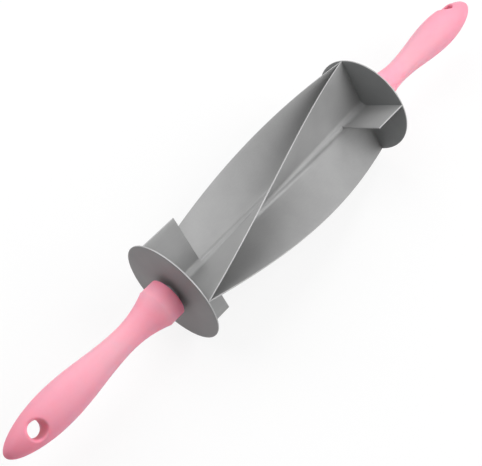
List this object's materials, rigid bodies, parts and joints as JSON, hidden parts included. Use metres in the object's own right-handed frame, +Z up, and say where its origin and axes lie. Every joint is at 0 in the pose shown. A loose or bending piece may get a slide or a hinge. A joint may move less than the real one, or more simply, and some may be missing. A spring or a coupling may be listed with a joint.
{
  "type": "croissant cutter roller",
  "caption": "Rolling dough cutter: zigzag twisted sheet blades between end discs on a rod, with freely turning moulded handles that have hanging holes.",
  "frame": {"origin": "middle of the roller, on its axis", "axes": "+X along the axis to the right handle, +Z up as the roller lies on its discs"},
  "size_m": [0.4442, 0.07, 0.07],
  "materials": {
    "sheet_steel": "satin stainless sheet",
    "rod_steel": "ground stainless bar",
    "spring_steel": "blued spring steel",
    "pink_plastic": "satin moulded plastic",
    "bush_nylon": "black nylon"
  },
  "bodies": {
    "roller": {"left_end_disc": "sheet_steel", "right_end_disc": "sheet_steel", "upper_blade": "sheet_steel", "front_blade": "sheet_steel", "rear_blade": "sheet_steel", "lower_blade": "sheet_steel", "left_upper_slit_cutter": "sheet_steel", "left_lower_slit_cutter": "sheet_steel", "right_upper_slit_cutter": "sheet_steel", "right_lower_slit_cutter": "sheet_steel", "axle_rod": "rod_steel", "left_thrust_washer": "rod_steel", "right_thrust_washer": "rod_steel", "left_clip_washer": "rod_steel", "right_clip_washer": "rod_steel", "left_retaining_clip": "spring_steel", "right_retaining_clip": "spring_steel"},
    "left_handle": {"left_handle": "pink_plastic", "left_bush": "bush_nylon"},
    "right_handle": {"right_handle": "pink_plastic", "right_bush": "bush_nylon"}
  },
  "joints": [
    {"name": "left_handle_spin", "type": "hinge", "parent": "roller", "child": "left_handle", "pos_m": [-0.09575, 0, 0], "axis": [1, 0, 0], "continuous": true},
    {"name": "right_handle_spin", "type": "hinge", "parent": "roller", "child": "right_handle", "pos_m": [0.09575, 0, 0], "axis": [1, 0, 0], "continuous": true}
  ]
}
